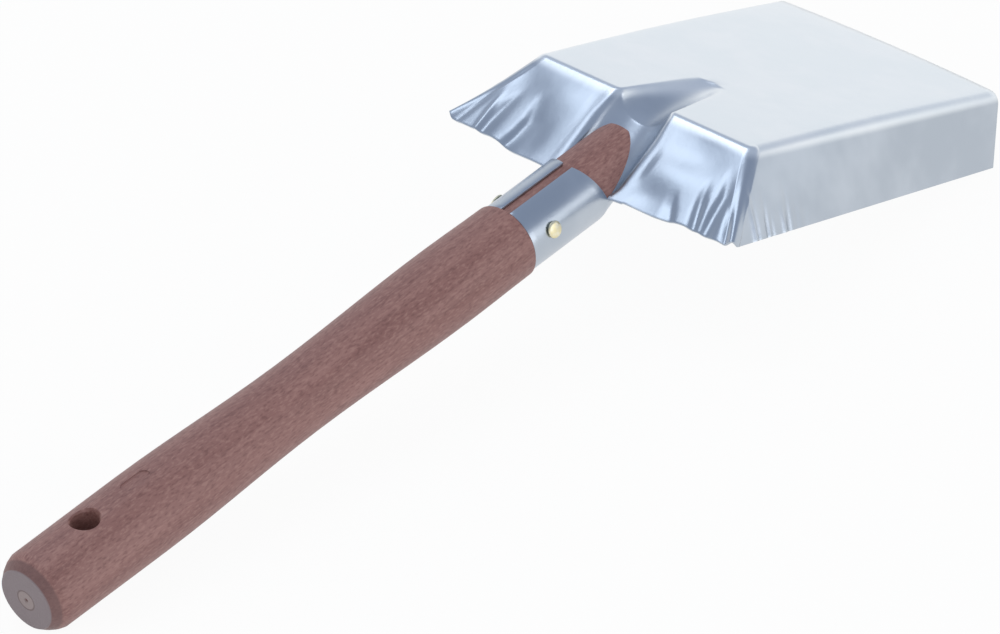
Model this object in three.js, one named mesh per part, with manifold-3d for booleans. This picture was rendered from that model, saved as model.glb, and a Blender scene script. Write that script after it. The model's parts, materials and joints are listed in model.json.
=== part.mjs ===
// Coal shovel: a pressed and galvanised sheet pan whose tongue is rolled into a socket, a turned
// wooden handle and the two nails that pin it. Millimetres, +Z up, +Y towards the open front.
// The shovel lies bottom up, on the pan's two front corners and the end of the grip.
import * as THREE from 'three';
import { mergeVertices } from 'three/addons/utils/BufferGeometryUtils.js';
import Module from 'manifold-3d';

const wasm = await Module();
wasm.setup();

// Sheet
const sheetThickness = 0.8;
const fitGap = 0.3;

// Pan floor and walls
const floorLength = 150.3;
const floorBackWidth = 103.7;
const floorFrontWidth = 110;
const frontDepth = 28.8;
const sideDepth = 27.8;
const backDepth = 27.3;
const frontFlare = 4.7;
const earFlare = 18.4;
const backSlope = 45;
const sideBendRadius = 4.8;
const backBendRadius = 3.5;
const cornerRadius = 4.6;
const earRadius = 5;
const earLift = 1.9;

// Folds gathered in the sheet round each ear
const foldPitch = 6.8;
const foldHeight = 1.1;
const foldReach = 30;

// Groove in the floor, and the trough that carries it down the back wall
const grooveRadius = 15;
const grooveDepth = 9.1;
const grooveLength = 42;
const grooveEdgeBlend = 2;
const creaseRadius = 2;
const troughSpread = 3;

// Rolled socket
const socketRadius = 14.2;
const socketSlope = 22.1;
const socketLength = 38.6;
const socketHeelRadius = 7;
const lipFrontStep = 6;
const lipGap = 4.2;
const lipGapTurn = 4;
const notchRadius = 1.2;

// Handle
const gripLength = 247.5;
const shoulderToFloorEdge = 68.1;
const shoulderDrop = 44.7;
const gripEndDiameter = 30.8;
const bellyDiameter = 31.2;
const bellyPlace = 57;
const waistDiameter = 27.5;
const waistPlace = 136;
const swellDiameter = 30.6;
const swellPlace = 216;
const shoulderDiameter = 29.9;
const endFaceDiameter = 23.2;
const endChamfer = 7;
const shoulderEase = 0.5;
const spigotLength = 65.1;
const scarfAngle = 29.3;
const scarfOverrun = 1.3;
const centreMarkDiameter = 2;
const hangHoleDiameter = 10.5;
const hangHolePlace = 31;
const hangHoleEase = 0.8;
const recessLength = 13;
const recessWidth = 5;
const recessPlace = 56;
const recessDepth = 0.6;

// Nails
const nailTurn = 72;
const nailPlace = 11.4;
const nailHeadDiameter = 6.6;
const nailHeadHeight = 1.2;
const nailShankDiameter = 2.4;
const nailLength = 11;
const nailPointLength = 3;

// Numbers of faces
const neckColumns = 10;
const grooveRows = 12;
const bendRows = 4;
const wallRows = 9;
const heelRows = 3;
const tubeRows = 6;
const lipColumns = 8;
const wingRulings = 26;
const cornerRulings = 8;
const earSideRulings = 16;
const sideRulings = 6;
const turnedFaces = 48;
const nailFaces = 20;

const steel = new THREE.MeshStandardMaterial({ color: 0xb4bcc6, roughness: 0.38, metalness: 0.9 });
const wood = new THREE.MeshStandardMaterial({ color: 0x7a4b44, roughness: 0.6, metalness: 0 });
const brass = new THREE.MeshStandardMaterial({ color: 0xd8c890, roughness: 0.35, metalness: 0.9 });

const degrees = THREE.MathUtils.degToRad;
const point = (x, y, z) => new THREE.Vector3(x, y, z);
const mix = THREE.MathUtils.lerp;
const between = (a, b, t) => a.clone().lerp(b, t);

// The socket's axis, as a line that starts at the handle's shoulder
const shoulder = point(0, -shoulderToFloorEdge, -shoulderDrop);
const axis = point(0, Math.cos(degrees(socketSlope)), Math.sin(degrees(socketSlope)));
const topSide = point(0, -axis.z, axis.y);
const socketBore = socketRadius - sheetThickness;

// A point at a distance along the axis, a radius from it and a turn from the side under the handle
function roundAxis(along, radius, turn, side) {
  const out = point(side * Math.sin(turn), 0, 0).addScaledVector(topSide, -Math.cos(turn));
  return shoulder.clone().addScaledVector(axis, along).addScaledVector(out, radius);
}

// Rounds the corner at a vertex: points of an arc from the line that comes in to the one that leaves
function roundedCorner(vertex, incoming, outgoing, radius, rows) {
  const half = incoming.angleTo(outgoing) / 2;
  const reach = radius * Math.tan(half);
  const start = vertex.clone().addScaledVector(incoming, -reach);
  const end = vertex.clone().addScaledVector(outgoing, reach);
  const points = [];
  for (let row = 0; row <= rows; row += 1) {
    const t = row / rows;
    const weights = [(1 - t) ** 2, 2 * t * (1 - t) * Math.cos(half), t ** 2];
    const sum = weights[0] + weights[1] + weights[2];
    points.push(start.clone().multiplyScalar(weights[0] / sum)
      .addScaledVector(vertex, weights[1] / sum)
      .addScaledVector(end, weights[2] / sum));
  }
  return points;
}

function smoothMinimum(a, b, blend) {
  const overlap = Math.max(blend - Math.abs(a - b), 0);
  return Math.min(a, b) - overlap ** 2 / (4 * blend);
}

// Height of the floor where the groove, a half pipe that climbs to its tip, is pressed into it
function floorHeight(x, y) {
  if (Math.abs(x) >= grooveRadius) return 0;
  const bottom = -grooveDepth * (1 - y / grooveLength);
  return smoothMinimum(0, bottom + grooveRadius - Math.sqrt(grooveRadius ** 2 - x ** 2), grooveEdgeBlend);
}

const grooveEnd = grooveLength * (1 + grooveEdgeBlend / grooveDepth);
const neckHalfWidth = grooveRadius * 1.2;
const quarterTurn = Math.PI / 2;

// One line of the tongue, from the groove's tip to the socket's rear edge. share is 0 in the middle
// and 1 at the edge of the trough, where the wing and the lip of the socket begin.
function neckPath(share, side) {
  const turn = share * quarterTurn;
  const x = neckHalfWidth * Math.sin(turn);
  const crease = point(side * x, 0, floorHeight(x, 0));
  const climb = floorHeight(x, -1) - floorHeight(x, 0);
  const heel = roundAxis(socketLength, socketBore, turn, side);
  const rear = roundAxis(fitGap, socketBore, turn, side);
  const arriving = point(0, -1, climb).normalize();
  const falling = heel.clone().sub(crease).normalize();
  const leaving = rear.clone().sub(heel).normalize();
  const bend = mix(creaseRadius, backBendRadius, share ** 2);
  const heelBend = mix(socketHeelRadius, notchRadius, share ** 2);
  const top = roundedCorner(crease, arriving, falling, bend, bendRows);
  const foot = roundedCorner(heel, falling, leaving, heelBend, heelRows);
  const groove = [];
  for (let row = 0; row < grooveRows; row += 1) {
    const y = mix(grooveEnd, top[0].y, row / grooveRows);
    groove.push(point(side * x, y, floorHeight(x, y)));
  }
  const wall = [];
  for (let row = 1; row < wallRows; row += 1) {
    const t = row / wallRows;
    const step = between(top[bendRows], foot[0], t);
    step.x += side * troughSpread * 4 * t * (1 - t) * share ** 4;
    wall.push(step);
  }
  const tube = [];
  for (let row = 1; row <= tubeRows; row += 1) {
    tube.push(between(foot[heelRows], rear, row / tubeRows));
  }
  return { groove, wing: [...top, ...wall, foot[0]], heel: foot, tube: [foot[heelRows], ...tube] };
}

// The lip of the socket beside one edge of the trough, as lines from its front edge to its rear
function lipLines(side, tube) {
  const gapHalf = lipGap / 2 / socketRadius + side * degrees(lipGapTurn);
  const last = Math.PI - gapHalf;
  const front = tube[0].clone().sub(shoulder).dot(axis);
  const lines = [tube];
  for (let column = 1; column <= lipColumns; column += 1) {
    const share = column / lipColumns;
    const turn = mix(quarterTurn, last, share);
    const line = [];
    for (let row = 0; row <= tubeRows; row += 1) {
      const along = mix(front - lipFrontStep * share, fitGap, row / tubeRows);
      line.push(roundAxis(along, socketBore, turn, side));
    }
    lines.push(line);
  }
  return lines;
}

const halfWidth = (y) => mix(floorBackWidth, floorFrontWidth, y / floorLength) / 2;

// Half width of the rim of the side wall at a distance from the floor's back edge
function rimHalfWidth(y) {
  const forward = (y + backDepth) / (floorLength + backDepth);
  return mix(floorBackWidth / 2 + earFlare, floorFrontWidth / 2 + frontFlare, forward);
}

// Height of a gathered fold at a distance along the rim from the ear's ridge, and at a share of
// the way down the wall: it starts below the bend and is highest at the rim
function foldAt(fromRidge, down) {
  const fade = Math.exp(-((fromRidge / foldReach) ** 2));
  const start = Math.min(Math.abs(fromRidge) / (2 * foldReach), 0.6);
  const growth = THREE.MathUtils.smoothstep(down, start, 1);
  return foldHeight * fade * growth * Math.cos((2 * Math.PI * fromRidge) / foldPitch);
}

// One line of a wall: it leaves the floor at a virtual edge, turns through a bend and runs to the rim
function wallLine({ edge, outward, rim, radius, fromRidge, along, side }) {
  const falling = rim.clone().sub(edge).normalize();
  const line = roundedCorner(edge, outward, falling, radius, bendRows);
  const start = line[bendRows];
  const normal = along.clone().cross(falling).normalize();
  for (let row = 1; row <= wallRows; row += 1) {
    const t = row / wallRows;
    const place = between(start, rim, t);
    line.push(place.addScaledVector(normal, foldAt(fromRidge, t)));
  }
  return line.map((place) => point(side * place.x, place.y, place.z));
}

// The walls of one half, as lines from the trough's edge round the ear to the open front
function wallLines(side) {
  const lines = [];
  const wingEnd = halfWidth(0) - cornerRadius;
  const cornerX = rimHalfWidth(-backDepth) - earRadius;
  const cornerY = -backDepth + earRadius;
  const reachOut = 1 / Math.tan(degrees(backSlope));
  for (let k = 1; k <= wingRulings; k += 1) {
    const t = k / wingRulings;
    const x = mix(neckHalfWidth, wingEnd, t);
    const rimX = mix(socketBore + 1, cornerX, t);
    const sag = 3 * Math.exp(-(rimX - socketBore) / 6);
    const rim = point(rimX, -(backDepth + sag) * reachOut, -backDepth - sag);
    lines.push(wallLine({
      edge: point(x, 0, 0), outward: point(0, -1, 0), rim, radius: backBendRadius,
      fromRidge: cornerX - rimX + earRadius, along: point(1, 0, 0), side,
    }));
  }
  const centre = point(wingEnd, cornerRadius, 0);
  for (let k = 1; k < cornerRulings; k += 1) {
    const t = k / cornerRulings;
    const angle = mix(-quarterTurn, 0, t);
    const outward = point(Math.cos(angle), Math.sin(angle), 0);
    const depth = mix(backDepth, sideDepth, t) - earLift * Math.sin(Math.PI * t) ** 2;
    const rim = point(cornerX, cornerY, -depth).addScaledVector(outward, earRadius);
    lines.push(wallLine({
      edge: centre.clone().addScaledVector(outward, cornerRadius), outward, rim,
      radius: mix(backBendRadius, sideBendRadius, t),
      fromRidge: earRadius * (0.5 - t) * 2, along: point(-outward.y, outward.x, 0), side,
    }));
  }
  const earSide = floorLength * 0.36;
  const stations = [];
  for (let k = 0; k < earSideRulings; k += 1) stations.push((earSide * k) / earSideRulings);
  for (let k = 0; k <= sideRulings; k += 1) stations.push(mix(earSide, floorLength, k / sideRulings));
  for (const from of stations) {
    const t = from / floorLength;
    const y = mix(cornerRadius, floorLength, t);
    const rimY = mix(cornerY, floorLength, t);
    const edge = point(halfWidth(y), y, 0);
    const rim = point(rimHalfWidth(rimY), rimY, -mix(sideDepth, frontDepth, t));
    lines.push(wallLine({
      edge, outward: point(1, 0, 0), rim, radius: sideBendRadius,
      fromRidge: rimY - cornerY + earRadius, along: point(0, 1, 0), side,
    }));
  }
  return lines;
}

// Faces between neighbouring lines of points
function stripFaces(lines, side, faces) {
  for (let k = 1; k < lines.length; k += 1) {
    for (let row = 1; row < lines[k].length; row += 1) {
      const a = lines[k - 1][row - 1];
      const b = lines[k - 1][row];
      const c = lines[k][row];
      const d = lines[k][row - 1];
      const loops = side > 0 ? [[a, b, c], [a, c, d]] : [[a, c, b], [a, d, c]];
      faces.push(...loops);
    }
  }
}

// The flat of the floor in one half, round the groove
function floorFaces(necks, walls, side, faces) {
  const edgeNeck = necks[necks.length - 1];
  const outline = [
    ...necks.map((neck) => neck.groove[0]),
    ...edgeNeck.groove.slice(1),
    edgeNeck.wing[0],
    ...walls.map((line) => line[0]),
    point(0, floorLength, 0),
  ];
  const flat = outline.map((place) => new THREE.Vector2(side * place.x, place.y));
  for (const [i, j, k] of THREE.ShapeUtils.triangulateShape(flat, [])) {
    const turn = (flat[j].x - flat[i].x) * (flat[k].y - flat[i].y)
      - (flat[k].x - flat[i].x) * (flat[j].y - flat[i].y);
    const loop = turn * side > 0 ? [i, j, k] : [i, k, j];
    faces.push(loop.map((index) => outline[index]));
  }
}

// Gives a surface its thickness: the same faces again below it, joined round the free edge
function thicken(faces, thickness) {
  const positions = faces.flat().flatMap((place) => [place.x, place.y, place.z]);
  const soup = new THREE.BufferGeometry();
  soup.setAttribute('position', new THREE.Float32BufferAttribute(positions, 3));
  const surface = mergeVertices(soup, 1e-3);
  surface.computeVertexNormals();
  const { position, normal } = surface.attributes;
  const index = Array.from(surface.index.array);
  const count = position.count;
  const vertices = Array.from(position.array);
  for (let i = 0; i < count; i += 1) {
    for (const letter of ['X', 'Y', 'Z']) {
      const get = `get${letter}`;
      vertices.push(position[get](i) - thickness * normal[get](i));
    }
  }
  const triangles = [];
  const directed = new Set();
  for (let i = 0; i < index.length; i += 3) {
    const [a, b, c] = index.slice(i, i + 3);
    if (a === b || b === c || c === a) continue;
    triangles.push(a, b, c, a + count, c + count, b + count);
    directed.add(`${a} ${b}`).add(`${b} ${c}`).add(`${c} ${a}`);
  }
  for (const edge of directed) {
    const [a, b] = edge.split(' ').map(Number);
    if (!directed.has(`${b} ${a}`)) {
      triangles.push(b, a, a + count, b, a + count, b + count);
    }
  }
  const shell = new THREE.BufferGeometry();
  shell.setAttribute('position', new THREE.Float32BufferAttribute(vertices, 3));
  shell.setIndex(triangles);
  return shell;
}

function toSolid(geometry) {
  const bare = geometry.clone();
  bare.deleteAttribute('uv');
  bare.deleteAttribute('normal');
  const merged = mergeVertices(bare, 1e-4);
  return new wasm.Manifold(new wasm.Mesh({
    numProp: 3,
    vertProperties: new Float32Array(merged.attributes.position.array),
    triVerts: new Uint32Array(merged.index.array),
  }));
}

function toGeometry(solid) {
  const { vertProperties, triVerts } = solid.getMesh();
  const geometry = new THREE.BufferGeometry();
  geometry.setAttribute('position', new THREE.BufferAttribute(vertProperties, 3));
  geometry.setIndex(new THREE.BufferAttribute(triVerts, 1));
  geometry.computeVertexNormals();
  return geometry;
}

// Places a shape that is turned round its own Y axis so that the axis points outwards from the
// socket where a nail goes in, with its origin on the sheet's outer face
function placeAtNail(side) {
  const turn = Math.PI - degrees(nailTurn);
  const seat = roundAxis(nailPlace, socketRadius, turn, side);
  const outward = seat.clone().sub(roundAxis(nailPlace, 0, turn, side)).normalize();
  const spin = new THREE.Quaternion().setFromUnitVectors(point(0, 1, 0), outward);
  return new THREE.Matrix4().compose(seat, spin, point(1, 1, 1));
}

function nailHole(side, reach) {
  const radius = nailShankDiameter / 2 + fitGap;
  const drill = new THREE.CylinderGeometry(radius, radius, 2 * reach, nailFaces);
  return toSolid(drill.applyMatrix4(placeAtNail(side)));
}

function makePan() {
  const faces = [];
  for (const side of [1, -1]) {
    const necks = [];
    for (let column = 0; column <= neckColumns; column += 1) {
      necks.push(neckPath(column / neckColumns, side));
    }
    const edgeNeck = necks[neckColumns];
    const walls = wallLines(side);
    const whole = necks.map((neck) => [
      ...neck.groove, ...neck.wing, ...neck.heel.slice(1), ...neck.tube.slice(1),
    ]);
    stripFaces(whole, side, faces);
    stripFaces([edgeNeck.wing, ...walls], side, faces);
    stripFaces(lipLines(side, edgeNeck.tube), side, faces);
    floorFaces(necks, walls, side, faces);
  }
  let pan = toSolid(thicken(faces, sheetThickness));
  for (const side of [1, -1]) pan = pan.subtract(nailHole(side, 2 * sheetThickness));
  return toGeometry(pan);
}

// Radius of the turned handle between two places, with a level tangent at each
function swelling(profile, from, to, fromDiameter, toDiameter, steps) {
  for (let step = 1; step <= steps; step += 1) {
    const t = step / steps;
    const ease = (1 - Math.cos(Math.PI * t)) / 2;
    profile.push(new THREE.Vector2(mix(fromDiameter, toDiameter, ease) / 2, mix(from, to, t)));
  }
}

function makeHandle() {
  const spigotRadius = socketBore - fitGap;
  const profile = [new THREE.Vector2(0, centreMarkDiameter / 2), new THREE.Vector2(centreMarkDiameter / 2, 0)];
  const chamfer = new THREE.QuadraticBezierCurve(
    new THREE.Vector2(endFaceDiameter / 2, 0),
    new THREE.Vector2(mix(endFaceDiameter, gripEndDiameter, 0.85) / 2, endChamfer * 0.55),
    new THREE.Vector2(gripEndDiameter / 2, endChamfer),
  );
  profile.push(...chamfer.getPoints(3));
  swelling(profile, endChamfer, bellyPlace, gripEndDiameter, bellyDiameter, 3);
  swelling(profile, bellyPlace, waistPlace, bellyDiameter, waistDiameter, 7);
  swelling(profile, waistPlace, swellPlace, waistDiameter, swellDiameter, 7);
  swelling(profile, swellPlace, gripLength - shoulderEase, swellDiameter, shoulderDiameter, 3);
  profile.push(
    new THREE.Vector2(shoulderDiameter / 2 - shoulderEase, gripLength),
    new THREE.Vector2(spigotRadius, gripLength),
    new THREE.Vector2(spigotRadius, gripLength + spigotLength),
    new THREE.Vector2(0, gripLength + spigotLength),
  );
  let handle = toSolid(new THREE.LatheGeometry(profile, turnedFaces));
  const widest = bellyDiameter;

  // The scarf: the spigot's end is cut off along the slope of the trough
  const block = new THREE.BoxGeometry(2 * widest, 8 * widest, 2 * widest);
  block.translate(0, 0, -widest);
  block.rotateX(degrees(scarfAngle));
  block.translate(0, gripLength + spigotLength + scarfOverrun, spigotRadius);
  handle = handle.subtract(toSolid(block));

  // The hanging hole, eased at both mouths
  const holeRadius = hangHoleDiameter / 2;
  const mouthRadius = holeRadius + hangHoleEase;
  const surface = gripEndDiameter / 2;
  const spool = new THREE.LatheGeometry([
    new THREE.Vector2(0, -widest),
    new THREE.Vector2(mouthRadius + hangHoleEase, -widest),
    new THREE.Vector2(mouthRadius, -surface),
    new THREE.Vector2(holeRadius, -surface + 2 * hangHoleEase),
    new THREE.Vector2(holeRadius, surface - 2 * hangHoleEase),
    new THREE.Vector2(mouthRadius, surface),
    new THREE.Vector2(mouthRadius + hangHoleEase, widest),
    new THREE.Vector2(0, widest),
  ], 28);
  spool.rotateX(quarterTurn);
  spool.translate(0, hangHolePlace, 0);
  handle = handle.subtract(toSolid(spool));

  // The plain oblong recess beside it
  const slot = new THREE.Shape();
  const straight = (recessLength - recessWidth) / 2;
  slot.absarc(0, straight, recessWidth / 2, 0, Math.PI);
  slot.absarc(0, -straight, recessWidth / 2, Math.PI, 2 * Math.PI);
  const cutter = new THREE.ExtrudeGeometry(slot, { depth: widest, bevelEnabled: false, curveSegments: 8 });
  cutter.translate(0, recessPlace, bellyDiameter / 2 - recessDepth);
  handle = handle.subtract(toSolid(cutter));

  // Into the pan's frame, then the nails' holes
  const placed = new THREE.Matrix4().makeRotationX(degrees(socketSlope));
  placed.setPosition(shoulder.clone().addScaledVector(axis, -gripLength));
  let fitted = toSolid(toGeometry(handle).applyMatrix4(placed));
  for (const side of [1, -1]) fitted = fitted.subtract(nailHole(side, nailLength + fitGap));
  return toGeometry(fitted);
}

function makeNail(side) {
  const headRadius = nailHeadDiameter / 2;
  const shankRadius = nailShankDiameter / 2;
  const profile = [
    new THREE.Vector2(0, -nailLength),
    new THREE.Vector2(shankRadius, -nailLength + nailPointLength),
    new THREE.Vector2(shankRadius, fitGap),
    new THREE.Vector2(headRadius - fitGap, fitGap),
    new THREE.Vector2(headRadius, fitGap + nailHeadHeight * 0.3),
  ];
  const rise = nailHeadHeight * 0.7;
  for (const angle of [30, 60]) {
    profile.push(new THREE.Vector2(
      headRadius * Math.cos(degrees(angle)) ** 0.5,
      fitGap + nailHeadHeight - rise + rise * Math.sin(degrees(angle)),
    ));
  }
  profile.push(new THREE.Vector2(0, fitGap + nailHeadHeight));
  return toGeometry(toSolid(new THREE.LatheGeometry(profile, nailFaces))).applyMatrix4(placeAtNail(side));
}

const pieces = [
  ['pan', makePan(), steel],
  ['handle', makeHandle(), wood],
  ['nail_right', makeNail(1), brass],
  ['nail_left', makeNail(-1), brass],
].map(([name, geometry, material]) => {
  const mesh = new THREE.Mesh(geometry, material);
  mesh.name = name;
  return mesh;
});
const [pan, handle] = pieces;

// The lowest point of a mesh once it is turned about the X axis
function lowest(mesh, angle) {
  const { position } = mesh.geometry.attributes;
  const turn = new THREE.Matrix4().makeRotationX(angle);
  let low = null;
  for (let i = 0; i < position.count; i += 1) {
    const place = new THREE.Vector3().fromBufferAttribute(position, i).applyMatrix4(turn);
    if (low === null || place.z < low.z) low = place;
  }
  return low;
}

// The shovel tips until the pan and the grip both touch the table
let tilt = 0;
for (let pass = 0; pass < 6; pass += 1) {
  const front = lowest(pan, tilt);
  const grip = lowest(handle, tilt);
  tilt -= Math.atan2(front.z - grip.z, front.y - grip.y);
}

const shovel = new THREE.Group();
shovel.add(...pieces);
shovel.rotation.x = tilt;
shovel.updateMatrixWorld(true);
const box = new THREE.Box3().setFromObject(shovel, true);
shovel.position.set(0, -(box.min.y + box.max.y) / 2, -box.min.z);

export default shovel;
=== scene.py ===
# %% [markdown]
# # A hand coal shovel
# The shovel lies bottom up: a pan pressed from one piece of galvanised sheet, whose tongue is rolled
# into a socket, and a turned wooden handle that two nails pin in it. Its solids come from the CAD
# frame. Here they get their finishes, and the finer shape that a render shows.

# %% Load the frame
import json
import math

import bpy
import numpy as np
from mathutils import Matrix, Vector
from mathutils.geometry import delaunay_2d_cdt


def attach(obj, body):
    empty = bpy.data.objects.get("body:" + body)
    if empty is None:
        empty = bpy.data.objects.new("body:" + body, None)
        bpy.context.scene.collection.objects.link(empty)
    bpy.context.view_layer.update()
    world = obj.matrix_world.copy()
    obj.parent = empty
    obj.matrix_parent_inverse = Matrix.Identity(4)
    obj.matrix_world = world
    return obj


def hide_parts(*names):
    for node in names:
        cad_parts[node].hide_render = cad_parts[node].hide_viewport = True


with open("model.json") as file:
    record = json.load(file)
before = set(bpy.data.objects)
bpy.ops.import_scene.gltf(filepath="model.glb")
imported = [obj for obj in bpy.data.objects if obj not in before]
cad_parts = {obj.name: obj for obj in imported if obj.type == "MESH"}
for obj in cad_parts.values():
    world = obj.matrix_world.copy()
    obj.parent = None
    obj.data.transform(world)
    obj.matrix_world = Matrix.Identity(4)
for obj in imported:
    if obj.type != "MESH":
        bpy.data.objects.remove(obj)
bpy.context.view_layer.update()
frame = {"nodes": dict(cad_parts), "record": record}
nodes = frame["nodes"]
print("solids:", sorted(nodes))

# %% [markdown]
# The photograph was taken with a long lens from the grip's side, above the table. The camera stands
# where the corners of the pan and the outline of the handle say, and looks straight at the place
# that the middle of the picture shows, so no shift is needed.

# %% Camera
camera_place = Vector((1.22389, -1.36607, 1.20765))
camera_aim = Vector((0.0, 0.00920, 0.01175))
camera_data = bpy.data.cameras.new("photo_camera")
camera = bpy.data.objects.new("photo_camera", camera_data)
bpy.context.scene.collection.objects.link(camera)
camera.location = camera_place
camera.rotation_euler = (camera_aim - camera_place).to_track_quat("-Z", "Y").to_euler()
camera_data.sensor_width = 36.0
camera_data.lens = 216.0
camera_data.clip_start = 0.1
camera_data.clip_end = 50.0
bpy.context.scene.camera = camera
print("camera distance:", round((camera_aim - camera_place).length, 3))

# %% [markdown]
# A material's pattern is a sum of small steps, and each step is a node. A class that wraps a socket
# lets the sums be written as sums.

# %% Shader maths
class Value:
    """A number that the shader works out, with the operators that this lesson uses."""

    def __init__(self, maker, socket):
        self.maker = maker
        self.socket = socket

    def _math(self, operation, *others):
        return self.maker.node("ShaderNodeMath", {"operation": operation}, dict(enumerate(others)))[0]

    def __add__(self, other):
        return self._math("ADD", self, other)

    __radd__ = __add__

    def __mul__(self, other):
        return self._math("MULTIPLY", self, other)

    __rmul__ = __mul__

    def __sub__(self, other):
        return self._math("SUBTRACT", self, other)

    def __rsub__(self, other):
        return self._math("SUBTRACT", other, self)

    def __pow__(self, other):
        return self._math("POWER", self, other)

    def step(self, low, high):
        """0 below low, 1 above high and smooth between them."""
        settings = {"interpolation_type": "SMOOTHSTEP"}
        return self.maker.node("ShaderNodeMapRange", settings,
                               {"Value": self, "From Min": low, "From Max": high})[0]


class Finish:
    """A material that is being made, with its nodes."""

    def __init__(self, name):
        self.material = bpy.data.materials.new(name)
        self.material.use_nodes = True
        self.tree = self.material.node_tree
        self.shader = self.tree.nodes["Principled BSDF"]

    def node(self, kind, settings=None, inputs=None):
        made = self.tree.nodes.new(kind)
        for name, value in (settings or {}).items():
            setattr(made, name, value)
        for name, value in (inputs or {}).items():
            self.join(made.inputs[name], value)
        return [Value(self, socket) for socket in made.outputs if socket.enabled]

    def join(self, socket, value):
        if isinstance(value, Value):
            self.tree.links.new(value.socket, socket)
        else:
            socket.default_value = value

    def set(self, **inputs):
        for name, value in inputs.items():
            self.join(self.shader.inputs[name.replace("_", " ")], value)

    def object_place(self):
        return self.node("ShaderNodeTexCoord")[3]

    def noise(self, vector, scale, detail=2.0, roughness=0.5, distortion=0.0):
        return self.node("ShaderNodeTexNoise", {}, {
            "Vector": vector, "Scale": scale, "Detail": detail,
            "Roughness": roughness, "Distortion": distortion})[0]

    def mapped(self, vector, turn=(0, 0, 0), scale=(1, 1, 1), move=(0, 0, 0)):
        return self.node("ShaderNodeMapping", {}, {
            "Vector": vector, "Rotation": turn, "Scale": scale, "Location": move})[0]

    def blend(self, share, first, second):
        made = self.tree.nodes.new("ShaderNodeMix")
        made.data_type = "RGBA"
        self.join(made.inputs["Factor"], share)
        self.join(made.inputs[6], first)
        self.join(made.inputs[7], second)
        return Value(self, made.outputs[2])

    def bump(self, height, strength, distance):
        return self.node("ShaderNodeBump", {}, {
            "Height": height, "Strength": strength, "Distance": distance})[0]


# %% [markdown]
# The sheet is mild steel with a zinc coat. A metal has almost no colour of its own, so the finish is
# mostly its roughness.
# The walls are given a darker, bluer tint than the flat floor. That is painted shade for the dimmer
# light they reflect, on the same steel. The two tints could be two materials, but then the bend between
# them would show a seam, so one material blends them by height below the floor, which it measures
# square to the floor.

# %% Galvanised steel
floor_mount = next(m for m in frame["record"]["mounts"] if m["name"] == "pan_bottom")
floor_up = Vector(floor_mount["axis"]).normalized()
floor_level = floor_up.dot(Vector(floor_mount["pos_m"]))
pan_slope = math.atan2(floor_up.y, floor_up.z)
# Between these two depths below the floor, the colour turns from the floor's tint to the walls' painted
# shade.
shade_below, unshaded_above = 0.004, 0.001


def galvanised_steel():
    steel = Finish("galvanised_steel")
    place = steel.object_place()
    cloud = steel.noise(place, 28.0, 3.0, 0.55)
    level = steel.node("ShaderNodeSeparateXYZ", {}, {0: steel.mapped(place, turn=(pan_slope, 0, 0))})[2]
    unshaded_floor = level.step(floor_level - shade_below, floor_level - unshaded_above)
    grain = steel.noise(steel.mapped(place, scale=(1, 0.25, 1)), 900.0, 2.0, 0.6)
    flat_tint = steel.blend(cloud.step(0.35, 0.7), (0.80, 0.845, 0.88, 1), (0.87, 0.90, 0.925, 1))
    # Painted shade: the walls' tint is darker and bluer than the floor's, though it is the same steel.
    wall_painted_shade = steel.blend(cloud.step(0.35, 0.7), (0.45, 0.50, 0.565, 1), (0.54, 0.59, 0.655, 1))
    height = grain * 0.5 + steel.noise(place, 160.0, 2.0)
    steel.set(Base_Color=steel.blend(unshaded_floor, wall_painted_shade, flat_tint), Metallic=1.0,
              Roughness=0.24 + cloud * 0.14, Normal=steel.bump(height, 0.12, 0.0004))
    return steel.material


steel_finish = galvanised_steel()

# %% [markdown]
# The handle is a close-grained hardwood, stained red-brown. Its grain runs along the handle, so the
# pattern is turned to the handle's own axis and stretched along it. Pale flecks and dark pores lie
# over it. The end face is cut across the grain, so it is greyer, with the pale round mark that the
# lathe's centre left, and the chamfer round it is darker.

# %% Stained wood
handle_rise, handle_run = 0.11584, 0.99327
handle_slope = math.atan2(handle_rise, handle_run)
face_edge, chamfer_edge = (0.0001, 0.0006), (0.0030, 0.0040)
mark_edge, mark_ring_edge = (0.0034, 0.0038), (0.0039, 0.0044)
grip_mount = next(m for m in frame["record"]["mounts"] if m["name"] == "grip_end")
face_place, face_axis = Vector(grip_mount["pos_m"]), Vector(grip_mount["axis"])
face_play = 0.0001
grip_face = [v.co for v in nodes["handle"].data.vertices
             if abs((v.co - face_place).dot(face_axis)) < face_play]
grip_end = sum((Vector(pick(p[k] for p in grip_face) for k in range(3)) for pick in (min, max)),
               Vector()) / 2
print("centre of the grip's end face", [round(c, 5) for c in grip_end])


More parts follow.
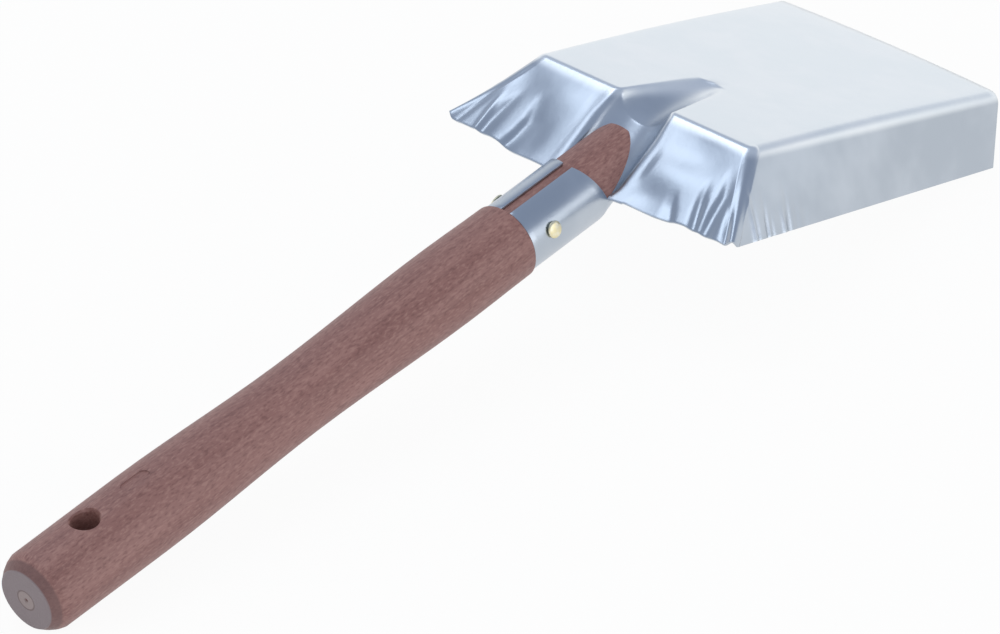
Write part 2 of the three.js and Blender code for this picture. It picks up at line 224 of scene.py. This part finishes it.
def stained_wood():
    wood = Finish("stained_wood")
    place = wood.object_place()
    along = wood.mapped(wood.mapped(place, move=tuple(-grip_end)), turn=(-handle_slope, 0, 0))
    broad = wood.noise(wood.mapped(along, scale=(1, 0.06, 1)), 160.0, 3.0, 0.6, 0.4)
    streak = wood.noise(wood.mapped(along, scale=(1, 0.03, 1)), 900.0, 2.0, 0.6)
    fleck = wood.noise(wood.mapped(along, scale=(1, 0.3, 1)), 1300.0, 1.0, 0.5)
    ground = wood.blend(broad.step(0.25, 0.75), (0.27, 0.125, 0.112, 1), (0.37, 0.195, 0.175, 1))
    lined = wood.blend(streak.step(0.45, 0.75) * 0.3, ground, (0.15, 0.062, 0.058, 1))
    flecked = wood.blend(fleck.step(0.52, 0.7) * 0.38, lined, (0.47, 0.27, 0.235, 1))
    pored = wood.blend((1 - fleck.step(0.3, 0.45)) * 0.4, flecked, (0.15, 0.058, 0.052, 1))
    across, length, depth = wood.node("ShaderNodeSeparateXYZ", {}, {0: along})
    radius = (across * across + depth * depth) ** 0.5
    end_face = 1 - length.step(*face_edge)
    chamfer = 1 - length.step(*chamfer_edge)
    disc = 1 - radius.step(*mark_edge)
    ring = radius.step(*mark_edge) * (1 - radius.step(*mark_ring_edge))
    turned_end = wood.blend(chamfer * 0.7, pored, (0.16, 0.085, 0.082, 1))
    cut = wood.blend(disc * 0.6, (0.27, 0.215, 0.225, 1), (0.40, 0.31, 0.29, 1))
    marked = wood.blend(ring * 0.7, cut, (0.14, 0.085, 0.08, 1))
    wood.set(Base_Color=wood.blend(end_face, turned_end, marked), Roughness=0.42 + broad * 0.2,
             Normal=wood.bump(streak + fleck * 0.9, 0.35, 0.0003))
    return wood.material


wood_finish = stained_wood()

# %% [markdown]
# The nails have a thin coat of brass, rubbed a little dull on the crown of the head. They are too
# small for a pattern to show, so one fine noise varies their colour and their gloss.

# %% Brass
def brassed_nail():
    brass = Finish("brassed_nail")
    place = brass.object_place()
    worn = brass.noise(place, 700.0, 3.0)
    tint = brass.blend(worn.step(0.35, 0.7), (0.80, 0.72, 0.46, 1), (0.86, 0.82, 0.66, 1))
    brass.set(Base_Color=tint, Metallic=1.0, Roughness=0.28 + worn * 0.2,
              Normal=brass.bump(worn, 0.15, 0.0002))
    return brass.material


brass_finish = brassed_nail()

# %% [markdown]
# The handle and the nails have their shape from the frame already. But a solid from the frame is
# loose triangles, so it can only look faceted. A copy whose corners are merged can be shaded
# smooth, with its real edges kept sharp.

# %% Smooth copies of the solids
merge_play = 1e-6


def dressed(node, name, material, angle):
    bpy.ops.object.select_all(action="DESELECT")
    piece = nodes[node].copy()
    piece.data = nodes[node].data.copy()
    piece.name = piece.data.name = name
    piece.parent = None
    bpy.context.scene.collection.objects.link(piece)
    bpy.context.view_layer.objects.active = piece
    piece.select_set(True)
    bpy.ops.object.mode_set(mode="EDIT")
    bpy.ops.mesh.select_all(action="SELECT")
    bpy.ops.mesh.remove_doubles(threshold=merge_play)
    bpy.ops.object.mode_set(mode="OBJECT")
    bpy.ops.object.shade_smooth_by_angle(angle=math.radians(angle))
    weighted = piece.modifiers.new("weighted", "WEIGHTED_NORMAL")
    weighted.keep_sharp = True
    bpy.ops.object.modifier_apply(modifier="weighted")
    piece.data.materials.clear()
    piece.data.materials.append(material)
    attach(piece, "root")
    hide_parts(node)
    print(name, len(piece.data.polygons), "faces")


dressed("handle", "turned_handle", wood_finish, 24)
dressed("nail_right", "domed_nail_right", brass_finish, 40)
dressed("nail_left", "domed_nail_left", brass_finish, 40)

# %% [markdown]
# ## The pan
# The real pan is one blank of sheet: a press draws the floor and walls, the corners that have too much
# sheet gather into folds, and the tongue is rolled round the handle. It could be extruded and
# bevelled, but no bevel gives the folds, or the groove that turns into the socket. So each area
# starts as a flat grid, the blank, and every point of it is moved to where the press takes it.
# Lengths are in millimetres in the pan's own frame: the floor is z = 0, its back edge is y = 0, and
# +y is the open front.

# %% The pan's frame
MM = 0.001
mount_place = 100.0
pan_up = np.array(floor_mount["axis"]) / np.linalg.norm(floor_mount["axis"])
pan_right = np.array((1.0, 0.0, 0.0))
pan_forward = np.cross(pan_up, pan_right)
pan_origin = np.array(floor_mount["pos_m"]) - mount_place * MM * pan_forward
print("the pan slopes by", round(math.degrees(pan_slope), 2), "degrees")


def in_frame(places):
    """Places in the pan's own frame, in millimetres, as places in the shared frame, in metres."""
    return pan_origin + MM * (places[:, :1] * pan_right + places[:, 1:2] * pan_forward
                              + places[:, 2:] * pan_up)


# %% Sizes of the sheet
sheet_thickness = 0.8
floor_length = 150.3
floor_back_width, floor_front_width = 103.7, 110.0
front_depth, side_depth, back_depth = 28.8, 27.8, 27.3
front_flare, ear_flare = 4.7, 18.4
side_bend, back_bend = 4.8, 3.5
corner_radius, ear_radius, ear_lift, ear_bow = 4.2, 4.6, 1.9, 0.8


# %% [markdown]
# Four small tools do most of the pressing: a step that eases in and out, a minimum of two heights
# that is rounded where they meet, a direction of length one, and an arc for a bend in the sheet.

# %% Tools for the press
def smoothstep(value, low, high):
    t = np.clip((value - low) / (high - low), 0, 1)
    return t * t * (3 - 2 * t)


def smooth_minimum(a, b, blend):
    overlap = np.maximum(blend - np.abs(a - b), 0)
    return np.minimum(a, b) - overlap ** 2 / (4 * blend)


def unit(vector):
    return vector / np.linalg.norm(vector)


def rounded_corner(vertex, incoming, outgoing, radius, rows):
    """Points of an arc that rounds a corner between the line that comes in and the one that leaves."""
    half = math.acos(max(-1.0, min(1.0, float(incoming @ outgoing)))) / 2
    reach = radius * math.tan(half)
    start, end = vertex - reach * incoming, vertex + reach * outgoing
    points = []
    for row in range(rows + 1):
        t = row / rows
        weights = ((1 - t) ** 2, 2 * t * (1 - t) * math.cos(half), t ** 2)
        points.append((weights[0] * start + weights[1] * vertex + weights[2] * end) / sum(weights))
    return points


# %% [markdown]
# The groove is a half pipe pressed into the floor. It is deepest at the back edge, climbs steeply at
# first and ends in a blunt nose. A smooth minimum with the flat floor rounds its edges.

# %% Groove
groove_radius, groove_drop, groove_length = 12.5, 9.6, 40.5
groove_steep_share, groove_steepest = 0.45, 0.93
groove_edge_round, groove_round_reach = 1.3, 0.6


def groove_depth(y):
    ahead = np.maximum(y - groove_length, 0)
    rest = np.clip(1 - y / groove_length, 0, None)
    return groove_drop * (groove_steep_share * rest ** 3
                          + (1 - groove_steep_share) * np.sqrt(rest)) - ahead


def groove_half_width(y):
    depth = np.clip(groove_depth(y), 0, groove_radius)
    return np.sqrt(groove_radius ** 2 - (groove_radius - depth) ** 2)


def groove_bank(x, y):
    """Height of the bare half pipe, which rises as a straight bank beyond its steepest part."""
    steep = groove_steepest * groove_radius
    inside = np.minimum(np.abs(x), steep)
    slope = steep / math.sqrt(groove_radius ** 2 - steep ** 2)
    return (groove_radius - np.sqrt(groove_radius ** 2 - inside ** 2)
            + slope * (np.abs(x) - inside) - groove_depth(y))


def groove_blend(y):
    """How far the rounding of the groove's edge reaches: twice as far at the back edge."""
    return groove_edge_round * (1 + smoothstep(-y, -groove_length * groove_round_reach, 0))


def floor_height(x, y):
    return smooth_minimum(np.zeros_like(x + y), groove_bank(x, y), groove_blend(y))


print("the groove is", round(2 * float(groove_half_width(0.0)), 1), "mm wide at the back edge")

# %% [markdown]
# The tongue goes on from the groove: over the crease, down the trough in the back wall, round the heel
# and along the lower half of the socket. Each line of it is a path, and the paths lie side by side.
# A path's share is 0 in the middle of the tongue and 1 where the trough's bank meets the back wall.
# From there it goes on to 2 across the shoulder, the rounded edge between the two.

# %% Sizes of the tongue
crease_bend, heel_bend, notch_bend = 2.0, 7.0, 1.2
socket_radius, socket_slope, socket_length, socket_rear = 14.2, math.radians(22.1), 38.6, 0.3
socket_front = np.array((0.0, -68.1, -44.7))
socket_axis = np.array((0.0, math.cos(socket_slope), math.sin(socket_slope)))
socket_top = np.array((0.0, -socket_axis[2], socket_axis[1]))
socket_bore = socket_radius - sheet_thickness
notch_advance, notch_drop = 2.2, 29.1
wall_blend, crease_blend, blend_growth = 9.0, 5.0, 0.35
bank_slope, shoulder_reach, shoulder_fade = 1.9, 5.6, 0.8
wing_normal = np.array((0.0, -math.sin(math.pi / 4), math.cos(math.pi / 4)))
bank_columns, shoulder_columns = 18, 9
groove_rows, bend_rows, wall_rows, heel_rows, tube_rows = 44, 7, 40, 7, 14


def round_axis(along, radius, turn, side):
    """A point round the socket's axis, turned up from its lowest line to the given side."""
    out = np.array((side * math.sin(turn), 0, 0)) - math.cos(turn) * socket_top
    return socket_front + along * socket_axis + radius * out


# %% Lines of the tongue
def tongue_foot(heel, falling, bank, side):
    """The bend at the heel and the line that runs from it along the socket."""
    rear = round_axis(socket_rear, socket_bore, bank * math.pi / 2, side)
    bend = heel_bend + (notch_bend - heel_bend) * bank ** 2
    foot = rounded_corner(heel, falling, unit(rear - heel), bend, heel_rows)
    tube = [foot[-1] + (rear - foot[-1]) * row / tube_rows for row in range(1, tube_rows + 1)]
    return foot, tube


def shoulder_push(level, down):
    """How the shoulder's rounding moves a point that lies at this level against the back wall."""
    blend = crease_blend + (wall_blend - crease_blend) * smoothstep(down, 0, blend_growth)
    moved = float(smooth_minimum(0.0, level, blend)) - min(0.0, level)
    return wing_normal * moved * (1 - smoothstep(down, shoulder_fade, 1.0))


def tongue_path(share, side):
    bank = min(share, 1.0)
    beyond = (share - bank) * shoulder_reach

    def on_groove(y):
        x = bank * groove_half_width(y) + beyond
        return np.array((side * x, y, min(0.0, float(groove_bank(x, y)))))

    crease = on_groove(0.0)
    heel = round_axis(socket_length + notch_advance * bank ** 2, socket_bore,
                      bank * math.pi / 2, side)
    if beyond > 0:
        rim = np.array((side * (socket_bore + beyond), -notch_drop, -notch_drop))
        heel = heel + (rim - heel) * beyond / shoulder_reach
    falling = unit(heel - crease)
    top = rounded_corner(crease, unit(on_groove(-0.5) - on_groove(0.5)), falling,
                         crease_bend + (back_bend - crease_bend) * bank ** 2, bend_rows)
    foot, tube = tongue_foot(heel, falling, bank, side) if share <= 1 else ([heel], [])

    nose = groove_length + groove_blend(groove_length)
    groove = []
    for row in range(groove_rows):
        y = nose + (top[0][1] - nose) * row / groove_rows
        x = bank * groove_half_width(y) + beyond
        groove.append(np.array((side * x, y, float(floor_height(x, y)))))

    def pushed(place, down):
        level = float(wing_normal @ place) if share <= 1 else bank_slope * beyond
        return shoulder_push(level, down)

    bank_height = float(groove_bank(abs(crease[0]), 0.0))
    rounding = float(smooth_minimum(0.0, bank_height, groove_blend(0.0))) - min(0.0, bank_height)
    wall = []
    for row, place in enumerate(top):
        t = row / bend_rows
        wall.append(place + pushed(place, 0.0) * t + np.array((0, 0, rounding)) * (1 - t))
    for row in range(1, wall_rows):
        down = row / wall_rows
        place = top[-1] + (foot[0] - top[-1]) * down
        wall.append(place + pushed(place, down))
    return {"floor": groove, "wall": wall, "foot": foot, "tube": tube}


print("the socket's bore is", round(2 * socket_bore, 1), "mm")

# %% [markdown]
# Where the press had too much sheet, at the two ears, it gathered it into folds: low ridges that start
# below the bend and grow towards the rim. A texture could fake them, but they also bend the outline
# of the rim, so they are modelled. Each fold follows its crest, counted outwards from the middle and
# down the wall, with its height, its steep side's width and its gentle side's width. The swells are
# the wide soft hollows and bumps that make the light wander over the wall.

# %% Folds of the back wall
fold_softness, fold_lead, fold_run = 1.45, 6.0, 9.0
fold_start, fold_early, fold_delay = 0.25, 0.15, 4.0
fold_least_height, fold_least_width = 0.55, 0.7
right_folds = (
    (((50.2, -8.5), (54.0, -15.4), (55.0, -21.8), (56.3, -27)), 1.3, 2.6, 1.5),
    (((45.0, -13.6), (46.2, -17.9), (48.6, -22.5), (51.3, -27.3)), 1.0, 1.5, 1.3),
    (((35.1, -19.1), (37.3, -23.5), (40.0, -27.0)), 0.6, 1.1, 1.8),
    (((57.5, -15.6), (62.2, -21.4), (66.5, -26.0)), 0.8, 1.3, 1.2))
left_folds = (
    (((38.9, -11.3), (36.9, -19.0), (38.0, -24.9), (39.4, -28.1)), 1.3, 1.6, 3.4),
    (((47.2, -11.9), (49.8, -18.6), (51.2, -23.2), (51.8, -26.8)), 0.9, 1.6, 2.2),
    (((54.4, -13.4), (54.6, -20.1), (54.4, -26.7)), -0.6, 0.8, 0.9),
    (((56.0, -12.0), (60.5, -20.0), (63.5, -26.0)), 0.5, 1.2, 1.0))
right_swells = (((36, -8), (12, 5), 0.6), ((27, -16), (14, 4.5), -0.7), ((28, -25), (9, 4), 0.6))
left_swells = (((50, -8), (7, 5), 0.5), ((31, -22), (5, 7), 0.6), ((30, -8), (10, 5), -0.5))


def nearest_on(crest, x, y):
    """How far a point lies beside a crest, positive on its steep side, and how far along it."""
    lengths = np.concatenate(([0], np.cumsum(np.linalg.norm(np.diff(crest, axis=0), axis=1))))
    best = (math.inf, 0.0, 0.0)
    for k in range(len(crest) - 1):
        step = crest[k + 1] - crest[k]
        size = np.linalg.norm(step)
        px, py = x - crest[k][0], y - crest[k][1]
        low = -fold_lead if k == 0 else 0.0
        high = size + fold_run if k == len(crest) - 2 else size
        t = min(max((px * step[0] + py * step[1]) / size, low), high)
        distance = math.hypot(px - t * step[0] / size, py - t * step[1] / size)
        sign = np.sign(step[0] * py - step[1] * px)
        best = min(best, (distance, distance * sign, lengths[k] + t), key=lambda found: found[0])
    return best[1], best[2], lengths[-1]


def fold(x, y, crest, height, steep, gentle):
    across, along, total = nearest_on(np.array(crest, float), x, y)
    grown = (smoothstep(along, -fold_early * total, fold_start * total + fold_delay)
             * (fold_least_height + (1 - fold_least_height) * smoothstep(along, 0, total)))
    width = (fold_softness * (steep if across > 0 else gentle)
             * (fold_least_width + (1 - fold_least_width) * grown))
    return height * grown * math.exp(-(across / width) ** 2)


def swell(x, y, centre, reach, height):
    return height * math.exp(-((x - centre[0]) / reach[0]) ** 2 - ((y - centre[1]) / reach[1]) ** 2)


def wing_relief(x, y, side):
    """How far the back wall stands out from its plane."""
    folds, swells = (right_folds, right_swells) if side > 0 else (left_folds, left_swells)
    return (sum(fold(x, y, *shape) for shape in folds)
            + sum(swell(x, y, *shape) for shape in swells))


print(len(right_folds), "folds on the right and", len(left_folds), "on the left")

# %% [markdown]
# The side wall has finer pleats beside the ear. They stand up and down the wall, so each needs only
# its place along the rim, its width, its height, how far down the wall it starts, and its lean.

# %% Pleats of the side wall
pleat_growth, pleat_shift = 1.9, 1.3
pleats = ((-11.5, 1.5, -0.5, 0.3, 2.0), (-9.5, 0.9, 0.45, 0.2, 1.5), (-3.0, 0.9, 0.5, 0.35, 1.5),
          (-0.2, 0.8, 0.35, 0.6, 1.0), (7.2, 1.0, -0.4, 0.55, 1.2), (10.5, 1.1, 0.35, 0.3, 1.5),
          (15.5, 1.6, 0.16, 0.5, 1.0), (21.0, 1.8, 0.12, 0.55, 1.0))


def side_relief(y, down, side):
    total = 0.0
    for place, width, height, start, lean in pleats:
        shift = 0.0 if side > 0 else pleat_shift * math.sin(place)
        middle = place + lean * (1 - down) + shift
        total += (pleat_growth * height * float(smoothstep(down, start, 1.0))
                  * math.exp(-((y - middle) / width) ** 2))
    return total


# %% [markdown]
# A wall is a fan of straight lines from the edge of the floor to the rim. Each begins with the bend,
# and then takes the relief of the folds. The lines go along the back wall, round the ear, and down
# the side to the front, closest together where the folds are.

# %% A line of a wall
wall_line_rows = wall_rows
relief_start = 0.12
rim_sag, rim_sag_from, rim_sag_to = 1.3, 33, 48
notch_sag, notch_side, notch_fade = 0.5, 17, 2


def half_width(y):
    return (floor_back_width + (floor_front_width - floor_back_width) * y / floor_length) / 2


def rim_half_width(y):
    forward = (y + back_depth) / (floor_length + back_depth)
    back, front = floor_back_width / 2 + ear_flare, floor_front_width / 2 + front_flare
    return back + (front - back) * forward


def rim_drop(x):
    """The rim of the back wall hangs a little lower beside the socket than at the ear."""
    return (back_depth + rim_sag * (1 - smoothstep(x, rim_sag_from, rim_sag_to))
            + notch_sag * math.exp(-(x - notch_side) / notch_fade))


def wall_line(edge, outward, rim, radius, relief, side, bow=0.0):
    falling = unit(rim - edge)
    line = rounded_corner(edge, outward, falling, radius, bend_rows)
    start = line[-1]
    normal = unit(np.cross(np.array((-outward[1], outward[0], 0.0)), falling))
    for row in range(1, wall_line_rows + 1):
        t = row / wall_line_rows
        place = start + (rim - start) * t
        lift = relief(place, t) * smoothstep(t, 0, relief_start) + bow * 4 * t * (1 - t)
        line.append(place + normal * lift)
    return [p * (side, 1, 1) for p in line]


# %% Back wall
wing_rulings, wing_relief_fade = 84, 4
wing_end = half_width(0) - corner_radius
ear_centre_x = rim_half_width(-back_depth) - ear_radius
ear_centre_y = -back_depth + ear_radius


def back_wall(side):
    top_start = float(groove_half_width(0.0)) + shoulder_reach
    rim_start = socket_bore + shoulder_reach

    def relief(place, down):
        fade = smoothstep(place[0], top_start, top_start + wing_relief_fade)
        return wing_relief(place[0], place[1], side) * fade

    lines = []
    for k in range(1, wing_rulings + 1):
        t = k / wing_rulings
        rim_x = rim_start + (ear_centre_x - rim_start) * t
        edge = np.array((top_start + (wing_end - top_start) * t, 0.0, 0.0))
        rim = np.array((rim_x, -rim_drop(rim_x), -rim_drop(rim_x)))
        lines.append(wall_line(edge, np.array((0.0, -1.0, 0.0)), rim, back_bend, relief, side))
    return lines


# %% Ear
ear_rulings, ear_fold_end, ear_pleat_start = 22, 0.45, 0.55


def ear(side):
    lines = []
    centre = np.array((wing_end, corner_radius, 0.0))
    for k in range(1, ear_rulings):
        t = k / ear_rulings
        angle = -math.pi / 2 * (1 - t)
        outward = np.array((math.cos(angle), math.sin(angle), 0.0))
        depth = back_depth + (side_depth - back_depth) * t - ear_lift * math.sin(math.pi * t) ** 2
        rim = np.array((ear_centre_x, ear_centre_y, -depth)) + outward * ear_radius

        def relief(place, down, share=t):
            folds = wing_relief(place[0], place[1], side) * (1 - smoothstep(share, 0.0, ear_fold_end))
            sides = side_relief(place[1], down, side) * smoothstep(share, ear_pleat_start, 1.0)
            return folds + sides

        lines.append(wall_line(centre + outward * corner_radius, outward, rim,
                               back_bend + (side_bend - back_bend) * t, relief, side,
                               ear_bow * math.sin(math.pi * t)))
    return lines


# %% Side wall
side_near, side_far, pleated_length = 70, 26, 54.0


def side_wall(side):
    def relief(place, down):
        return side_relief(place[1], down, side)

    lines = []
    stations = [pleated_length * k / side_near for k in range(side_near)]
    stations += [pleated_length + (floor_length - pleated_length) * k / side_far
                 for k in range(side_far + 1)]
    for station in stations:
        t = station / floor_length
        y = corner_radius + (floor_length - corner_radius) * t
        rim_y = ear_centre_y + (floor_length - ear_centre_y) * t
        depth = side_depth + (front_depth - side_depth) * t
        lines.append(wall_line(np.array((half_width(y), y, 0.0)), np.array((1.0, 0.0, 0.0)),
                               np.array((rim_half_width(rim_y), rim_y, -depth)),
                               side_bend, relief, side))
    return lines


# %% [markdown]
# The lips of the socket carry on from the sides of the tongue and nearly meet above the wood. Their
# front edges slant back, and the gap between them lies a few degrees to one side.

# %% Lips
lip_columns = 16
lip_front_step, lip_gap, lip_gap_turn = 6.0, 4.2, math.radians(4)


def lip_lines(tube, side):
    last = math.pi - lip_gap / 2 / socket_radius - side * lip_gap_turn
    front = float((tube[0] - socket_front) @ socket_axis)
    lines = [tube]
    for column in range(1, lip_columns + 1):
        share = column / lip_columns
        turn = math.pi / 2 + (last - math.pi / 2) * share
        start = front - lip_front_step * share
        lines.append([round_axis(start + (socket_rear - start) * row / tube_rows,
                                 socket_bore, turn, side) for row in range(tube_rows + 1)])
    return lines


# %% [markdown]
# A drawn floor is never quite flat: this one is crowned by about a millimetre, which shows in the
# outline of its front and far edges. The crown dies out down the walls.

# %% Blanks
crown = 1.0


def crown_height(x, y):
    share = np.clip(y / floor_length, 0, 1)
    across = 1 - np.clip(np.abs(x) / half_width(y), 0, 1) ** 2
    return crown * (np.sin(math.pi * share) + share ** 2 * across)


def add_blank(name, lines):
    """A flat grid whose points are moved onto the given lines, as a press moves a blank."""
    bpy.ops.object.select_all(action="DESELECT")
    bpy.ops.mesh.primitive_grid_add(x_subdivisions=len(lines[0]) - 1, y_subdivisions=len(lines) - 1,
                                    size=1)
    blank = bpy.context.active_object
    blank.name = name
    places = np.array(lines, float).reshape(-1, 3)
    fading = 1 + np.clip(places[:, 2], -side_depth, 0) / side_depth
    places[:, 2] += crown_height(places[:, 0], places[:, 1]) * fading
    blank.data.vertices.foreach_set("co", in_frame(places).ravel())
    blank.data.update()
    return blank


# %% [markdown]
# The flat of the floor has an outline that a grid can't follow, because the groove bites into it. So
# it is filled with triangles, between the points of its outline and points of its own, which let
# it take the crown.

# %% Flat of the floor
floor_spacing, floor_reach, floor_clearance = 4.0, 60, 0.45
groove_zone = 45
inner_triangles, same_point = 1, 1e-5


def add_floor(name, outline):
    points = [Vector((p[0], p[1])) for p in outline]
    edge = np.array([(p[0], p[1]) for p in outline])
    columns = int(floor_reach / floor_spacing)
    for i in range(-columns, columns + 1):
        for j in range(int(floor_length / floor_spacing) + 1):
            place = np.array((i * floor_spacing, (j + 0.5) * floor_spacing))
            if np.min(np.hypot(*(edge - place).T)) > floor_clearance * floor_spacing:
                points.append(Vector(place))
    filled = delaunay_2d_cdt(points, [], [list(range(len(outline)))], inner_triangles, same_point)
    places = np.array([(v.x, v.y, float(floor_height(v.x, v.y)) if v.y < groove_zone else 0.0)
                       for v in filled[0]])
    places[:, 2] += crown_height(places[:, 0], places[:, 1])
    mesh = bpy.data.meshes.new(name)
    mesh.from_pydata([tuple(p) for p in in_frame(places)], [], filled[2])
    flat = bpy.data.objects.new(name, mesh)
    bpy.context.scene.collection.objects.link(flat)
    return flat


# %% [markdown]
# The blanks share the points of their borders, so they can be joined and their doubles merged. The
# sheet is still open then, which is the time to turn its faces outwards. Solidify gives it its
# thickness towards the inside of the scoop, and a small bevel takes the sharpness off the rims.

# %% Join the blanks
front_columns = 26


def pressed_surface():
    parts, outline = [], {}
    shares = [k / bank_columns for k in range(bank_columns + 1)]
    shares += [1 + k / shoulder_columns for k in range(1, shoulder_columns + 1)]
    for side in (1, -1):
        paths = [tongue_path(share, side) for share in shares]
        bank, edge, outer = paths[:bank_columns + 1], paths[bank_columns], paths[-1]
        walls = ([outer["wall"] + [outer["foot"][0]]] + back_wall(side) + ear(side)
                 + side_wall(side))
        parts.append(add_blank("tongue", [p["floor"] + p["wall"] + [p["foot"][0]] for p in paths]))
        parts.append(add_blank("socket", [p["foot"] + p["tube"] for p in bank]))
        parts.append(add_blank("lip", lip_lines([edge["foot"][-1]] + edge["tube"], side)))
        parts.append(add_blank("wall", walls))
        outline[side] = ([p["floor"][0] for p in paths[bank_columns:]] + outer["floor"][1:]
                         + [line[0] for line in walls])
    corner = outline[1][-1]
    front = [corner * (1 - k / front_columns, 1, 1) for k in range(1, 2 * front_columns)]
    parts.append(add_floor("flat", outline[1] + front + outline[-1][:0:-1]))
    bpy.ops.object.select_all(action="DESELECT")
    for part in parts:
        part.select_set(True)
    bpy.context.view_layer.objects.active = parts[0]
    bpy.ops.object.join()
    return bpy.context.active_object


pan = pressed_surface()
pan.name = "pressed_pan"
print("the open sheet has", len(pan.data.polygons), "faces")

# %% Merge and turn the faces outwards
merge_reach = 0.004
bpy.ops.object.mode_set(mode="EDIT")
bpy.ops.mesh.select_all(action="SELECT")
bpy.ops.mesh.remove_doubles(threshold=merge_reach * MM)
bpy.ops.mesh.dissolve_degenerate(threshold=merge_reach * MM)
bpy.ops.mesh.delete_loose()
bpy.ops.mesh.select_all(action="SELECT")
bpy.ops.mesh.normals_make_consistent(inside=False)
bpy.ops.object.mode_set(mode="OBJECT")
on_floor = Vector(pan_origin + MM * (100 * pan_forward + 30 * pan_right))
floor_face = min(pan.data.polygons, key=lambda face: (face.center - on_floor).length)
if floor_face.normal.dot(Vector(pan_up)) < 0:
    pan.data.flip_normals()

# %% Thickness and rims
rim_round, rim_angle, smooth_angle = 0.12, 60, 50
sheet = pan.modifiers.new("sheet", "SOLIDIFY")
sheet.thickness = sheet_thickness * MM
sheet.offset = -1
sheet.use_even_offset = False
bpy.ops.object.modifier_apply(modifier=sheet.name)
rims = pan.modifiers.new("rims", "BEVEL")
rims.width, rims.segments = rim_round * MM, 2
rims.limit_method, rims.angle_limit = "ANGLE", math.radians(rim_angle)
bpy.ops.object.modifier_apply(modifier=rims.name)
bpy.ops.object.shade_smooth_by_angle(angle=math.radians(smooth_angle))
pan.data.materials.append(steel_finish)
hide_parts("pan")
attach(pan, "root")
print("the pan has", len(pan.data.polygons), "faces")

# %% [markdown]
# ## Floor and light
# The shovel lies on a pale floor. It could be lit until it turns white, but then the shovel would be
# too bright. So it glows for the rays that see it, straight or in a reflection, and keeps a part
# of its own shading, so that the shovel's shadow stays.

# %% Floor
floor_size = 8.0
floor_white_share = 0.94


def ray_kinds(finish, *kinds):
    """1 for the rays of the named kinds, and 0 for all others."""
    path = finish.tree.nodes.new("ShaderNodeLightPath")
    share = Value(finish, path.outputs[kinds[0]])
    for kind in kinds[1:]:
        share = finish.node("ShaderNodeMath", {"operation": "MAXIMUM"},
                            {0: share, 1: Value(finish, path.outputs[kind])})[0]
    return share


bpy.ops.object.select_all(action="DESELECT")
bpy.ops.mesh.primitive_plane_add(size=floor_size, location=(0, 0, 0))
floor = bpy.context.active_object
floor.name = "pale_floor"
floor_paint = Finish("pale_floor")
floor_paint.set(Base_Color=(0.93, 0.935, 0.94, 1), Roughness=0.9)
glow = floor_paint.tree.nodes.new("ShaderNodeEmission")
glow.inputs["Color"].default_value = (1, 1, 1, 1)
mixer = floor_paint.tree.nodes.new("ShaderNodeMixShader")
seen = ray_kinds(floor_paint, "Is Camera Ray", "Is Glossy Ray", "Is Transmission Ray")
floor_paint.join(mixer.inputs[0], seen * floor_white_share)
floor_paint.tree.links.new(floor_paint.shader.outputs[0], mixer.inputs[1])
floor_paint.tree.links.new(glow.outputs[0], mixer.inputs[2])
floor_paint.tree.links.new(mixer.outputs[0], floor_paint.tree.nodes["Material Output"].inputs[0])
floor.data.materials.append(floor_paint.material)

# %% [markdown]
# Metal looks like what it reflects, so the light is a surrounding first: white round the horizon,
# which the floor of the pan shows, and blue-grey overhead, which its walls show. The matt things
# are lit by an even, dimmer tent. One lamp above gives the walls their highlights, and one from the
# right fills the handle's near side.

# %% Sky
class Sky(Finish):
    """The world's nodes, made the way a finish is."""

    def __init__(self, name):
        self.world = bpy.data.worlds.new(name)
        self.world.use_nodes = True
        self.tree = self.world.node_tree


sky_edge = (0.22, 0.52)


def studio_sky():
    sky = Sky("studio")
    bpy.context.scene.world = sky.world
    direction = sky.node("ShaderNodeTexCoord")[0]
    height = sky.node("ShaderNodeSeparateXYZ", {}, {0: direction})[2]
    dome = sky.blend(height.step(*sky_edge), (0.98, 1.0, 1.02, 1), (0.40, 0.46, 0.58, 1))
    reflected = ray_kinds(sky, "Is Glossy Ray", "Is Transmission Ray")
    tent = sky.blend(reflected, (0.66, 0.68, 0.70, 1), dome)
    shown = sky.blend(ray_kinds(sky, "Is Camera Ray"), tent, (1, 1, 1, 1))
    sky.join(sky.tree.nodes["Background"].inputs["Color"], shown)


studio_sky()


# %% Lamps
def softbox(name, place, aim, width, height, watts, colour=(1, 1, 1)):
    light = bpy.data.lights.new(name, "AREA")
    light.shape = "RECTANGLE"
    light.size, light.size_y, light.energy = width, height, watts
    light.color = colour
    lamp = bpy.data.objects.new(name, light)
    lamp.location = place
    lamp.rotation_euler = (Vector(aim) - Vector(place)).to_track_quat("-Z", "Y").to_euler()
    bpy.context.scene.collection.objects.link(lamp)
    print(name, "lamp:", watts, "W")


softbox("upper_left", (-0.72, -0.02, 1.75), (0, 0.05, 0), 0.85, 0.85, 4.0, (0.88, 0.94, 1.0))
softbox("right", (1.9, 0.5, 0.5), (0, 0, 0.03), 1.5, 0.9, 4)

# %% [markdown]
# The render's colours are shown with the plain Standard view transform.

# %% View transform
bpy.context.scene.view_settings.view_transform = "Standard"
